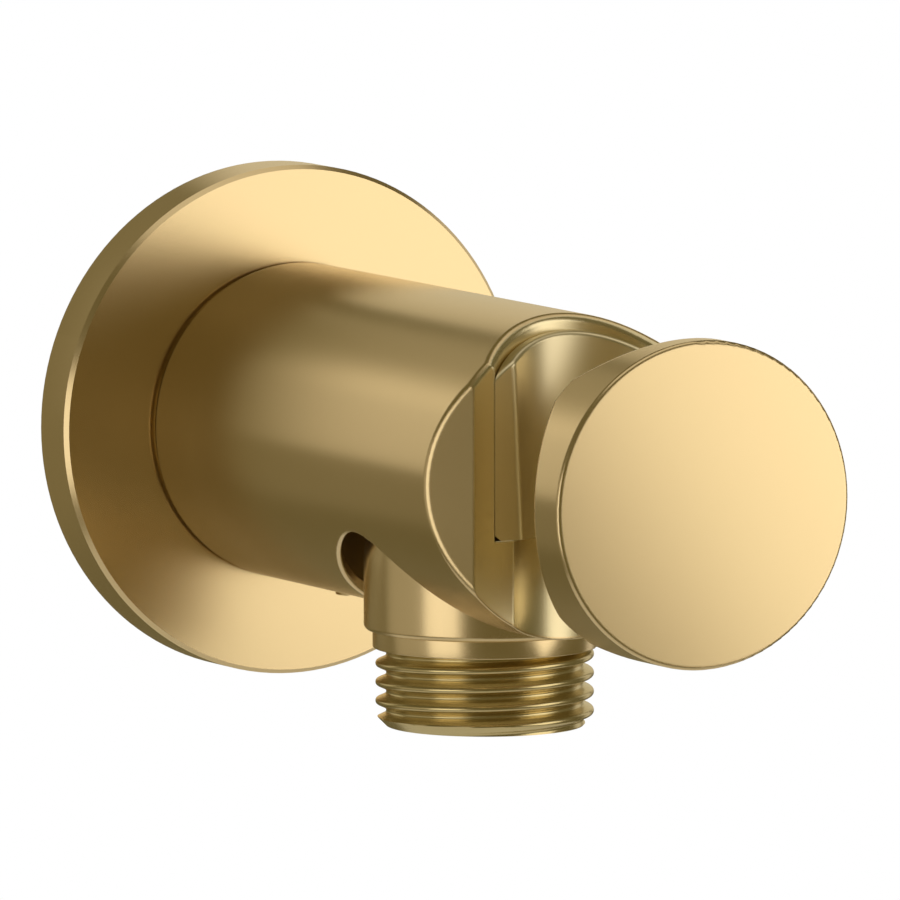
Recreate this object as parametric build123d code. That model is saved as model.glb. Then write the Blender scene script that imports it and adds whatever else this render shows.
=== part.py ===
"""Wall outlet elbow with a hand-shower holder, in millimetres.

The wall is the plane Y = 0, the body's axis leaves it along -Y, and +Z is up. Water comes in at the wall,
turns in the core and leaves downwards through the outlet nipple. The front of the body is a slotted socket
that holds a hand shower by its tapered nut.
"""

import os
from math import radians, tan

from build123d import *

# Wall flange
FLANGE_DIAMETER = 50.0
FLANGE_DEPTH = 5.3
FLANGE_PLATE = 1.6
FLANGE_RIM = 1.4
FLANGE_HUB = 0.9
FLANGE_HUB_SETBACK = 0.8
FLANGE_EDGE = 0.4
FLANGE_GAP = 0.12
FLANGE_HOLE_EDGE = 0.1
FLANGE_RING_SECTION = 1.5
FLANGE_RING_SETBACK = 1.5
GASKET_WIDTH = 2.4
GASKET_CLEARANCE = 0.25

# Holder body: a sleeve bored from the wall end, solid at the holder end
BODY_DIAMETER = 31.0
PROJECTION = 88.5
BODY_START = 1.0
BODY_WALL = 1.2
BODY_EDGE = 0.35
SHOULDER_GAP = 0.65
SHOULDER_STEP = 0.5
BODY_WEB = 2.8

# Holder socket, slot and liner
SOCKET_FRONT_WALL = 3.1
SOCKET_WALL = 3.0
SOCKET_LEDGE = 1.5
SOCKET_LEDGE_DROP = 5.3
HOLDER_EDGE = 0.7
SLOT_INSET = 2.3
SLOT_FLARE_DEPTH = 3.8
SLOT_FLARE_WIDTH = 2.7
LINER_SETBACK = 1.6
LINER_WALL = 2.1
LINER_TAPER = 1.75
LINER_CLEARANCE = 0.05
LINER_EDGE = 0.4
LINER_CORNER = 1.2
LINER_HEEL = 0.5

# Outlet nipple: neck, collar and hose thread (G 1/2), with a threaded spigot inside the core
OUTLET_BRIDGE = 1.7
NECK_DIAMETER = 23.2
NECK_REVEAL = 0.75
NECK_EDGE = 0.55
NECK_HOLE_INSET = 1.8
NECK_HOLE_EDGE = 0.3
COLLAR_DIAMETER = 21.5
COLLAR_LENGTH = 1.7
RELIEF_DIAMETER = 18.9
RELIEF_LENGTH = 0.4
THREAD_DIAMETER = 20.955
THREAD_LENGTH = 7.15
THREAD_CHAMFER = 0.9
SPIGOT_DIAMETER = 20.0
SPIGOT_LENGTH = 6.2
NIPPLE_KEY = 12.0
NIPPLE_RING_WIDTH = 1.3
NIPPLE_RING_HEIGHT = 1.2

# Waterway core
SEAT_DROP = 7.4
POCKET_DROP = 6.0
POCKET_RELIEF = 0.25
WATERWAY_DIAMETER = 9.0
PORT_WALL = 1.9
CORE_CLEARANCE = 0.1

# Inlet adapter: female G 1/2 at the wall, ringed spigot in the core
INLET_THREAD = 18.631
INLET_LENGTH = 9.0
INLET_MOUTH_EDGE = 0.8
INLET_WASHER = 1.5
INLET_WASHER_BORE = 12.4
INLET_WASHER_RELIEF = 0.6
HUB_WALL = 1.6
HUB_CLEARANCE = 0.3
INLET_SPIGOT_DIAMETER = 17.9
INLET_KEY = 10.0
INLET_RING_WIDTH = 2.0
INLET_RING_DEPTH = 1.6
INLET_RING_LAND = 1.1
INLET_RING_COUNT = 2
END_GAP = 0.3

# Locking screw under the body
SCREW_DIAMETER = 5.0
SCREW_PROUD = 0.1
SCREW_KEY = 2.5
SCREW_KEY_DEPTH = 2.5
SCREW_POINT = 1.0
SCREW_GROOVE = 0.8
SCREW_HOLE_GAP = 0.15

# Check valve cartridge in the outlet
VALVE_DIAMETER = 15.0
VALVE_LENGTH = 14.4
VALVE_RECESS = 0.9
VALVE_THROAT = 8.4
VALVE_SEAT_HEIGHT = 3.4
VALVE_WALL = 1.3
VALVE_RING_SETBACK = 0.9
VALVE_RING_WIDTH = 1.8
VALVE_RING_DEPTH = 1.3
POPPET_DIAMETER = 10.4
POPPET_PLATE = 1.2
POPPET_SEAL = 0.9
POPPET_SEAL_BORE = 6.8
POPPET_NOSE_RISE = 1.9
POPPET_NOSE_TIP = 3.0
POPPET_TRAVEL = 2.5
STEM_DIAMETER = 3.0
STEM_CLEARANCE = 0.15
SPRING_HEIGHT = 4.6
SPRING_DIAMETER = 6.6
SPRING_WIRE = 0.45
SPRING_TURNS = 4
GUIDE_HEIGHT = 2.2
GUIDE_RIM = 1.1
GUIDE_STEP = 0.4
GUIDE_BOSS = 5.2
GUIDE_BOSS_HEIGHT = 3.0
GUIDE_SPOKE = 1.2
GUIDE_SPOKES = 4

# Fits between pieces that touch, and how closely an edge's place is matched
SEAL_GAP = 0.03
FIT_GAP = 0.05
RING_EASE = 0.3
MATCH = 0.01

# Places that follow from the sizes above
body_radius = BODY_DIAMETER / 2
bore_radius = body_radius - BODY_WALL
body_spigot = body_radius - SHOULDER_STEP
shoulder = FLANGE_DEPTH + SHOULDER_GAP
socket_radius = body_radius - SOCKET_WALL
socket_offset = PROJECTION - SOCKET_FRONT_WALL - socket_radius
liner_mouth = socket_radius - LINER_WALL
slot_half = liner_mouth - SLOT_INSET
bore_end = socket_offset - socket_radius - BODY_WEB
neck_radius = NECK_DIAMETER / 2
neck_hole_radius = body_radius - NECK_HOLE_INSET
outlet_offset = socket_offset - socket_radius - OUTLET_BRIDGE - neck_hole_radius
neck_bottom = -body_radius - NECK_REVEAL
collar_bottom = neck_bottom - COLLAR_LENGTH
thread_top = collar_bottom - RELIEF_LENGTH
outlet_end = thread_top - THREAD_LENGTH
spigot_top = SPIGOT_LENGTH - SEAT_DROP
hub_end = INLET_LENGTH + INLET_WASHER + HUB_WALL
inlet_spigot_end = outlet_offset - SPIGOT_DIAMETER / 2 - PORT_WALL
core_start = hub_end + END_GAP
core_end = bore_end - END_GAP
core_radius = bore_radius - CORE_CLEARANCE
valve_bottom = outlet_end + VALVE_RECESS
valve_top = valve_bottom + VALVE_LENGTH
valve_radius = VALVE_DIAMETER / 2
valve_seat = valve_top - VALVE_SEAT_HEIGHT
chamber_radius = valve_radius - VALVE_WALL
poppet_plate_top = valve_seat - FIT_GAP - POPPET_SEAL
poppet_plate_bottom = poppet_plate_top - POPPET_PLATE
guide_top = poppet_plate_bottom - SPRING_HEIGHT
ring_pitch = INLET_RING_WIDTH + INLET_RING_LAND
ring_starts = [inlet_spigot_end - (index + 1) * ring_pitch for index in range(INLET_RING_COUNT)]
screw_offset = (hub_end + min(ring_starts)) / 2


def about_body(points):
    """Turn a profile of (radius, distance from the wall) about the body's axis."""
    outline = [(radius, -distance) for radius, distance in points]
    return revolve(make_face(Polyline(*outline, close=True)), axis=Axis.Y)


def about_upright(points, offset):
    """Turn a profile of (radius, height) about an upright axis at a distance from the wall."""
    outline = [Vector(radius, 0, height) for radius, height in points]
    return Pos(0, -offset, 0) * revolve(make_face(Polyline(*outline, close=True)), axis=Axis.Z)


def upright_cylinder(radius, offset, bottom, top):
    """A plain upright cylinder between two heights, at a distance from the wall."""
    grounded = (Align.CENTER, Align.CENTER, Align.MIN)
    return Pos(0, -offset, bottom) * Cylinder(radius, top - bottom, align=grounded)


def hexagon(across_flats):
    """A hexagon with the given size across its flats."""
    return RegularPolygon(across_flats / 2, 6, major_radius=False)


def upright_hexagon(across_flats, offset, bottom, top):
    """An upright hexagonal prism between two heights, at a distance from the wall."""
    return Pos(0, -offset, bottom) * extrude(hexagon(across_flats), top - bottom)


def squeezed_ring(inner, outer, low, high):
    """The (radius, position) outline of a rubber ring pressed into its groove, with rounded sides."""
    ease = min(outer - inner, high - low) * RING_EASE
    return [
        (inner + ease, low), (outer - ease, low), (outer, low + ease), (outer, high - ease),
        (outer - ease, high), (inner + ease, high), (inner, high - ease), (inner, low + ease),
    ]


def edges_where(part, holds):
    """The edges of a part that pass the given test of a point at every sampled place."""
    samples = (0.0, 0.25, 0.5, 0.75, 1.0)
    return [edge for edge in part.edges() if all(holds(edge @ place) for place in samples)]


def close_to(value, target):
    """Whether two lengths agree to a hundredth of a millimetre."""
    return abs(value - target) < MATCH


def from_body_axis(point):
    """How far a point lies from the body's axis."""
    return (point.X**2 + point.Z**2) ** 0.5


def from_upright(point, offset):
    """How far a point lies from an upright axis at a distance from the wall."""
    return (point.X**2 + (point.Y + offset) ** 2) ** 0.5


def on_skin(point):
    """Whether a point lies on the round outside of the body."""
    return close_to(from_body_axis(point), body_radius)


# Wall flange: a turned dish, with a hub that holds a rubber ring round the body's spigot

flange_radius = FLANGE_DIAMETER / 2
flange_hole = body_spigot + FLANGE_GAP
flange_ring_start = FLANGE_HUB_SETBACK + FLANGE_RING_SETBACK
flange_ring_end = flange_ring_start + FLANGE_RING_SECTION
flange_groove = body_spigot + FLANGE_RING_SECTION
flange_hub = flange_groove + FLANGE_HUB
flange_rim_inside = flange_radius - FLANGE_RIM
flange_plate_back = FLANGE_DEPTH - FLANGE_PLATE


def make_wall_flange():
    """The round cover plate against the wall."""
    return about_body([
        (flange_rim_inside, 0),
        (flange_radius, 0),
        (flange_radius, FLANGE_DEPTH - FLANGE_EDGE),
        (flange_radius - FLANGE_EDGE, FLANGE_DEPTH),
        (flange_hole + FLANGE_HOLE_EDGE, FLANGE_DEPTH),
        (flange_hole, FLANGE_DEPTH - FLANGE_HOLE_EDGE),
        (flange_hole, flange_ring_end),
        (flange_groove, flange_ring_end),
        (flange_groove, flange_ring_start),
        (flange_hole, flange_ring_start),
        (flange_hole, FLANGE_HUB_SETBACK),
        (flange_hub, FLANGE_HUB_SETBACK),
        (flange_hub, flange_plate_back),
        (flange_rim_inside, flange_plate_back),
    ])


def make_flange_ring():
    """The rubber ring that grips the body inside the flange."""
    inner = body_spigot + SEAL_GAP
    outer = flange_groove - SEAL_GAP
    return about_body(squeezed_ring(inner, outer, flange_ring_start + SEAL_GAP, flange_ring_end - SEAL_GAP))


def make_wall_gasket():
    """The foam ring in the hollow of the flange, flush with the wall."""
    outer = flange_rim_inside - GASKET_CLEARANCE
    inner = outer - GASKET_WIDTH
    return about_body([(inner, 0), (outer, 0), (outer, flange_plate_back), (inner, flange_plate_back)])


# Holder body: the sleeve, its socket and slot, and the hole that the neck passes through

slot_reach = 2 * body_radius
slot_flare_start = body_radius - SLOT_FLARE_DEPTH


def make_slot():
    """The space of the side slot, flared at its mouth, as high as the body and more."""
    flare_rate = SLOT_FLARE_WIDTH / SLOT_FLARE_DEPTH
    far_half = slot_half + flare_rate * (slot_reach - slot_flare_start)
    outline = make_face(Polyline(
        (0, slot_half), (-slot_flare_start, slot_half), (-slot_reach, far_half),
        (-slot_reach, -far_half), (-slot_flare_start, -slot_half), (0, -slot_half), close=True,
    ))
    return Pos(0, -socket_offset, 0) * extrude(outline, slot_reach, both=True)


def make_sleeve():
    """The tube of the body, turned down inside the flange, with the neck's eased hole and the screw's hole."""
    sleeve = about_body([
        (bore_radius, BODY_START), (body_spigot, BODY_START), (body_spigot, shoulder), (body_radius, shoulder),
        (body_radius, PROJECTION), (bore_radius, PROJECTION),
    ])
    sleeve -= upright_cylinder(neck_hole_radius, outlet_offset, -body_radius, 0)
    hole_edge = edges_where(
        sleeve, lambda p: on_skin(p) and close_to(from_upright(p, outlet_offset), neck_hole_radius),
    )
    sleeve = fillet(hole_edge, NECK_HOLE_EDGE)
    return sleeve - upright_cylinder(SCREW_DIAMETER / 2 + SCREW_HOLE_GAP, screw_offset, -body_radius, 0)


def make_holder_body():
    """The sleeve with its solid front end, which is cut out as the holder."""
    front = about_body([(0, bore_end), (bore_radius, bore_end), (bore_radius, PROJECTION), (0, PROJECTION)])
    body = make_sleeve() + front
    face_rim = edges_where(body, lambda p: on_skin(p) and close_to(p.Y, -PROJECTION))
    body = fillet(face_rim, BODY_EDGE)
    body -= upright_cylinder(socket_radius, socket_offset, -SOCKET_LEDGE_DROP, body_radius)
    body -= upright_cylinder(socket_radius - SOCKET_LEDGE, socket_offset, -body_radius, -SOCKET_LEDGE_DROP)
    body -= make_slot()
    holder_mouth = edges_where(
        body,
        lambda p: on_skin(p)
        and bore_end < -p.Y < PROJECTION - BODY_EDGE
        and (p.Z > 0 or p.X < MATCH - slot_flare_start),
    )
    return fillet(holder_mouth, HOLDER_EDGE)


def make_holder_liner():
    """The C-shaped liner of the socket, with the taper that a hand shower's nut sits in."""
    outer = socket_radius - LINER_CLEARANCE
    heel = -SOCKET_LEDGE_DROP
    top = body_radius
    flare = liner_mouth + (top - heel) * tan(radians(LINER_TAPER))
    liner = about_upright(
        [(liner_mouth, heel), (outer - LINER_HEEL, heel), (outer, heel + LINER_HEEL), (outer, top), (flare, top)],
        socket_offset,
    )
    liner -= make_slot()
    jaw_corners = edges_where(
        liner,
        lambda p: close_to(abs(p.Y + socket_offset), slot_half)
        and liner_mouth - FIT_GAP < from_upright(p, socket_offset) < flare + FIT_GAP,
    )
    liner = fillet(jaw_corners, LINER_CORNER)
    crown = body_radius - LINER_SETBACK
    liner &= about_body([(0, BODY_START), (crown, BODY_START), (crown, PROJECTION), (0, PROJECTION)])
    crown_edges = edges_where(liner, lambda p: p.Z > 0 and close_to(from_body_axis(p), crown))
    return fillet(crown_edges, LINER_EDGE)


# Waterway core and the adapter that carries it on the wall

ring_groove_radius = INLET_SPIGOT_DIAMETER / 2 - INLET_RING_DEPTH
inlet_bore = INLET_SPIGOT_DIAMETER / 2 + FIT_GAP
nipple_ring_outer = SPIGOT_DIAMETER / 2 + NIPPLE_RING_WIDTH


def make_waterway_core():
    """The brass bar that turns the water from the wall down to the outlet."""
    core = about_body([(0, core_start), (core_radius, core_start), (core_radius, core_end), (0, core_end)])
    socket_end = inlet_spigot_end + END_GAP
    core -= about_body([(0, core_start), (inlet_bore, core_start), (inlet_bore, socket_end), (0, socket_end)])
    waterway = WATERWAY_DIAMETER / 2
    core -= about_body([(0, socket_end), (waterway, socket_end), (waterway, outlet_offset), (0, outlet_offset)])
    port = SPIGOT_DIAMETER / 2 + FIT_GAP
    core -= upright_cylinder(port, outlet_offset, -SEAT_DROP, waterway)
    core -= upright_cylinder(nipple_ring_outer, outlet_offset, -SEAT_DROP, NIPPLE_RING_HEIGHT - SEAT_DROP)
    core -= upright_cylinder(neck_radius, outlet_offset, -body_radius, -SEAT_DROP)
    pocket = neck_hole_radius + POCKET_RELIEF
    core -= about_upright([
        (neck_radius, -body_radius), (pocket, -body_radius), (pocket, -POCKET_DROP), (neck_radius, -POCKET_DROP),
    ], outlet_offset)
    core -= upright_cylinder(SCREW_DIAMETER / 2 + FIT_GAP, screw_offset, -body_radius, 0)
    return core


def make_inlet_adapter():
    """The turned adapter that screws onto the wall's supply nipple."""
    hub = bore_radius - HUB_CLEARANCE
    spigot = INLET_SPIGOT_DIAMETER / 2
    thread = INLET_THREAD / 2
    groove_half = SCREW_POINT + SCREW_HOLE_GAP
    outline = [
        (thread + INLET_MOUTH_EDGE, 0),
        (hub, 0),
        (hub, hub_end),
        (spigot, hub_end),
        (spigot, screw_offset - groove_half - SCREW_GROOVE),
        (spigot - SCREW_GROOVE, screw_offset - groove_half),
        (spigot - SCREW_GROOVE, screw_offset + groove_half),
        (spigot, screw_offset + groove_half + SCREW_GROOVE),
    ]
    for start in sorted(ring_starts):
        end = start + INLET_RING_WIDTH
        outline += [(spigot, start), (ring_groove_radius, start), (ring_groove_radius, end), (spigot, end)]
    seat = INLET_LENGTH + INLET_WASHER
    outline += [
        (spigot, inlet_spigot_end),
        (0, inlet_spigot_end),
        (0, seat),
        (thread + INLET_WASHER_RELIEF, seat),
        (thread + INLET_WASHER_RELIEF, INLET_LENGTH),
        (thread, INLET_LENGTH),
        (thread, INLET_MOUTH_EDGE),
    ]
    adapter = about_body(outline)
    key_way = extrude(Plane.XZ * hexagon(INLET_KEY), inlet_spigot_end)
    return adapter - key_way


def make_inlet_washer():
    """The flat washer that the wall's supply nipple tightens against."""
    inner = INLET_WASHER_BORE / 2
    outer = INLET_THREAD / 2 + INLET_WASHER_RELIEF - FIT_GAP
    seat = INLET_LENGTH + INLET_WASHER
    return about_body([(inner, INLET_LENGTH), (outer, INLET_LENGTH), (outer, seat), (inner, seat)])


def make_inlet_ring(start):
    """One of the rubber rings on the adapter's spigot."""
    low = start + SEAL_GAP
    high = start + INLET_RING_WIDTH - SEAL_GAP
    return about_body(squeezed_ring(ring_groove_radius + SEAL_GAP, inlet_bore - SEAL_GAP, low, high))


def make_locking_screw():
    """The grub screw that pins the body and the core to the adapter's groove."""
    radius = SCREW_DIAMETER / 2
    bottom = -body_radius - SCREW_PROUD
    top = SCREW_GROOVE - INLET_SPIGOT_DIAMETER / 2 - FIT_GAP
    edge = radius - SCREW_POINT
    shank = top - edge
    screw = about_upright(
        [(0, bottom), (radius, bottom), (radius, shank), (SCREW_POINT, top), (0, top)], screw_offset,
    )
    return screw - upright_hexagon(SCREW_KEY, screw_offset, bottom, bottom + SCREW_KEY_DEPTH)


# Outlet nipple and its ring

def make_outlet_nipple():
    """The screwed-in outlet: spigot, neck, collar and the hose thread's outer form."""
    spigot = SPIGOT_DIAMETER / 2
    collar = COLLAR_DIAMETER / 2
    relief = RELIEF_DIAMETER / 2
    thread = THREAD_DIAMETER / 2
    bore = valve_radius + FIT_GAP
    nipple = about_upright([
        (0, spigot_top), (spigot, spigot_top), (spigot, -SEAT_DROP), (neck_radius, -SEAT_DROP),
        (neck_radius, neck_bottom), (collar, neck_bottom), (collar, collar_bottom),
        (relief, collar_bottom), (relief, thread_top), (thread, thread_top),
        (thread, outlet_end + THREAD_CHAMFER), (thread - THREAD_CHAMFER, outlet_end),
        (bore, outlet_end), (bore, valve_top), (0, valve_top),
    ], outlet_offset)
    neck_edge = edges_where(
        nipple, lambda p: close_to(from_upright(p, outlet_offset), neck_radius) and close_to(p.Z, neck_bottom),
    )
    nipple = fillet(neck_edge, NECK_EDGE)
    return nipple - upright_hexagon(NIPPLE_KEY, outlet_offset, valve_top, spigot_top)


def make_nipple_ring():
    """The rubber ring between the nipple's shoulder and the core."""
    inner = SPIGOT_DIAMETER / 2 + SEAL_GAP
    outer = nipple_ring_outer - SEAL_GAP
    low = SEAL_GAP - SEAT_DROP
    high = NIPPLE_RING_HEIGHT - SEAT_DROP - SEAL_GAP
    return about_upright(squeezed_ring(inner, outer, low, high), outlet_offset)


# Check valve: housing, rings, poppet, spring and guide

valve_ring_top = valve_top - VALVE_RING_SETBACK
valve_ring_bottom = valve_ring_top - VALVE_RING_WIDTH
valve_groove = valve_radius - VALVE_RING_DEPTH
guide_radius = chamber_radius + GUIDE_STEP


def make_valve_housing():
    """The moulded cartridge with the valve's throat and seat."""
    throat = VALVE_THROAT / 2
    return about_upright([
        (throat, valve_top), (valve_radius, valve_top), (valve_radius, valve_ring_top),
        (valve_groove, valve_ring_top), (valve_groove, valve_ring_bottom), (valve_radius, valve_ring_bottom),
        (valve_radius, valve_bottom), (guide_radius, valve_bottom), (guide_radius, guide_top),
        (chamber_radius, guide_top), (chamber_radius, valve_seat), (throat, valve_seat),
    ], outlet_offset)


def make_valve_ring():
    """The rubber ring round the cartridge."""
    inner = valve_groove + SEAL_GAP
    outer = valve_radius + FIT_GAP - SEAL_GAP
    low = valve_ring_bottom + SEAL_GAP
    return about_upright(squeezed_ring(inner, outer, low, valve_ring_top - SEAL_GAP), outlet_offset)


def make_valve_poppet():
    """The mushroom that closes the throat and slides down when water flows."""
    neck = POPPET_SEAL_BORE / 2 - FIT_GAP
    plate = POPPET_DIAMETER / 2
    stem = STEM_DIAMETER / 2
    nose = poppet_plate_top + POPPET_SEAL
    stem_end = outlet_end + POPPET_TRAVEL + FIT_GAP
    return about_upright([
        (0, nose + POPPET_NOSE_RISE), (POPPET_NOSE_TIP / 2, nose + POPPET_NOSE_RISE), (neck, nose),
        (neck, poppet_plate_top), (plate, poppet_plate_top), (plate, poppet_plate_bottom),
        (stem, poppet_plate_bottom), (stem, stem_end), (0, stem_end),
    ], outlet_offset)


def make_poppet_seal():
    """The rubber washer on the poppet that meets the seat."""
    inner = POPPET_SEAL_BORE / 2
    outer = POPPET_DIAMETER / 2
    top = poppet_plate_top + POPPET_SEAL
    return about_upright(
        [(inner, poppet_plate_top), (outer, poppet_plate_top), (outer, top), (inner, top)], outlet_offset,
    )


def make_valve_spring():
    """The wire coil that pushes the poppet up against its seat."""
    wire = SPRING_WIRE / 2
    climb = SPRING_HEIGHT - SPRING_WIRE - 2 * SEAL_GAP
    coil = Helix(pitch=climb / SPRING_TURNS, height=climb, radius=SPRING_DIAMETER / 2)
    section = Plane(origin=coil @ 0, z_dir=coil % 0) * Circle(wire)
    return Pos(0, -outlet_offset, guide_top + wire + SEAL_GAP) * sweep(section, path=coil)


def make_valve_guide():
    """The spoked guide that holds the spring and the poppet's stem."""
    outer = guide_radius - FIT_GAP
    inner = outer - GUIDE_RIM
    boss = GUIDE_BOSS / 2
    low = guide_top - GUIDE_HEIGHT
    guide = about_upright([(inner, guide_top), (outer, guide_top), (outer, low), (inner, low)], outlet_offset)
    guide += upright_cylinder(boss, outlet_offset, guide_top - GUIDE_BOSS_HEIGHT, guide_top)
    spoke_length = (inner + outer) / 2
    for index in range(GUIDE_SPOKES):
        spoke = Box(spoke_length, GUIDE_SPOKE, GUIDE_HEIGHT, align=(Align.MIN, Align.CENTER, Align.MAX))
        turn = Rot(0, 0, index * 360 / GUIDE_SPOKES)
        guide += Pos(0, -outlet_offset, guide_top) * turn * spoke
    hole = STEM_DIAMETER / 2 + STEM_CLEARANCE
    return guide - upright_cylinder(hole, outlet_offset, guide_top - GUIDE_BOSS_HEIGHT, guide_top)


PIECES = {
    "wall_flange": make_wall_flange(),
    "flange_ring": make_flange_ring(),
    "wall_gasket": make_wall_gasket(),
    "holder_body": make_holder_body(),
    "holder_liner": make_holder_liner(),
    "waterway_core": make_waterway_core(),
    "inlet_adapter": make_inlet_adapter(),
    "inlet_washer": make_inlet_washer(),
    "locking_screw": make_locking_screw(),
    "outlet_nipple": make_outlet_nipple(),
    "nipple_ring": make_nipple_ring(),
    "valve_housing": make_valve_housing(),
    "valve_ring": make_valve_ring(),
    "valve_poppet": make_valve_poppet(),
    "poppet_seal": make_poppet_seal(),
    "valve_spring": make_valve_spring(),
    "valve_guide": make_valve_guide(),
}
for number, start in enumerate(ring_starts, 1):
    PIECES[f"inlet_ring_{number}"] = make_inlet_ring(start)

os.makedirs("parts", exist_ok=True)
for node, shape in PIECES.items():
    export_step(shape, f"parts/{node}.step")
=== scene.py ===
"""Studio picture of a wall outlet elbow with a hand-shower holder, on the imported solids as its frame."""

import logging
from dataclasses import dataclass
from enum import Enum
from math import atan2, cos, hypot, pi, radians, tau
from typing import Callable, Mapping, Sequence, Union

import bmesh
import bpy
from bmesh.types import BMEdge, BMesh, BMVert
from mathutils import Matrix, Quaternion, Vector


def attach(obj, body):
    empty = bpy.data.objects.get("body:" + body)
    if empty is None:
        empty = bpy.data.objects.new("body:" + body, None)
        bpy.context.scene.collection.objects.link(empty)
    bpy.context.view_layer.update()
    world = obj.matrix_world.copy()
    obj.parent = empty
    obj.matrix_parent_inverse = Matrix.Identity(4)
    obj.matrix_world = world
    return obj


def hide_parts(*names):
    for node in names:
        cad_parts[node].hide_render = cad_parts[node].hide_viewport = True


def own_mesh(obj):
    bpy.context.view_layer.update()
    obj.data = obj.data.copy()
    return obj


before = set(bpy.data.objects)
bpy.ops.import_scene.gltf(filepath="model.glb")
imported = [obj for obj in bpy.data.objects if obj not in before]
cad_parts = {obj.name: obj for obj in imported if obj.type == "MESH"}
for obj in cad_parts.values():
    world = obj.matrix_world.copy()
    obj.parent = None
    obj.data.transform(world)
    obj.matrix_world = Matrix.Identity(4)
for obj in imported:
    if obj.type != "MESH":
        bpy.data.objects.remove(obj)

LOG = logging.getLogger("elbow")
MM = 0.001
# One radian of the bands of a Wave node at a scale of 1
WAVE_RADIAN = 0.05
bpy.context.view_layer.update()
FITTING = "fitting"

Colour = tuple[float, float, float]
Radius = Union[float, Callable[[float], float]]


class Slot(Enum):
    """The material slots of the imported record."""

    SATIN_BRASS = "satin_brass"
    PLAIN_BRASS = "plain_brass"
    PLATED_PLASTIC = "plated_plastic"
    STAINLESS_STEEL = "stainless_steel"
    SEAL_RUBBER = "seal_rubber"
    GASKET_FOAM = "gasket_foam"
    VALVE_PLASTIC = "valve_plastic"
    POPPET_PLASTIC = "poppet_plastic"


# Shader maths

class Signal:
    """One output of a shader tree, with arithmetic that adds Math nodes."""

    def __init__(self, tree: "ShaderTree", socket: bpy.types.NodeSocket) -> None:
        """Wrap a socket of the given tree."""
        self.tree = tree
        self.socket = socket

    def _math(self, operation: str, first: "Operand", second: "Operand") -> "Signal":
        """Add one Math node on two values."""
        return self.tree.node("ShaderNodeMath", {"operation": operation}, {0: first, 1: second})

    def __add__(self, other: "Operand") -> "Signal":
        """Sum of two values."""
        return self._math("ADD", self, other)

    def __radd__(self, other: "Operand") -> "Signal":
        """Sum with a number on the left."""
        return self._math("ADD", other, self)

    def __sub__(self, other: "Operand") -> "Signal":
        """Difference of two values."""
        return self._math("SUBTRACT", self, other)

    def __rsub__(self, other: "Operand") -> "Signal":
        """Difference from a number on the left."""
        return self._math("SUBTRACT", other, self)

    def __mul__(self, other: "Operand") -> "Signal":
        """Product of two values."""
        return self._math("MULTIPLY", self, other)

    def __rmul__(self, other: "Operand") -> "Signal":
        """Product with a number on the left."""
        return self._math("MULTIPLY", other, self)

    def __lt__(self, other: "Operand") -> "Signal":
        """1 where the value is the smaller one, else 0."""
        return self._math("LESS_THAN", self, other)

    def __gt__(self, other: "Operand") -> "Signal":
        """1 where the value is the greater one, else 0."""
        return self._math("GREATER_THAN", self, other)


Operand = Union[Signal, float]
Value = Union[Signal, float, Sequence[float]]


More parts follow.
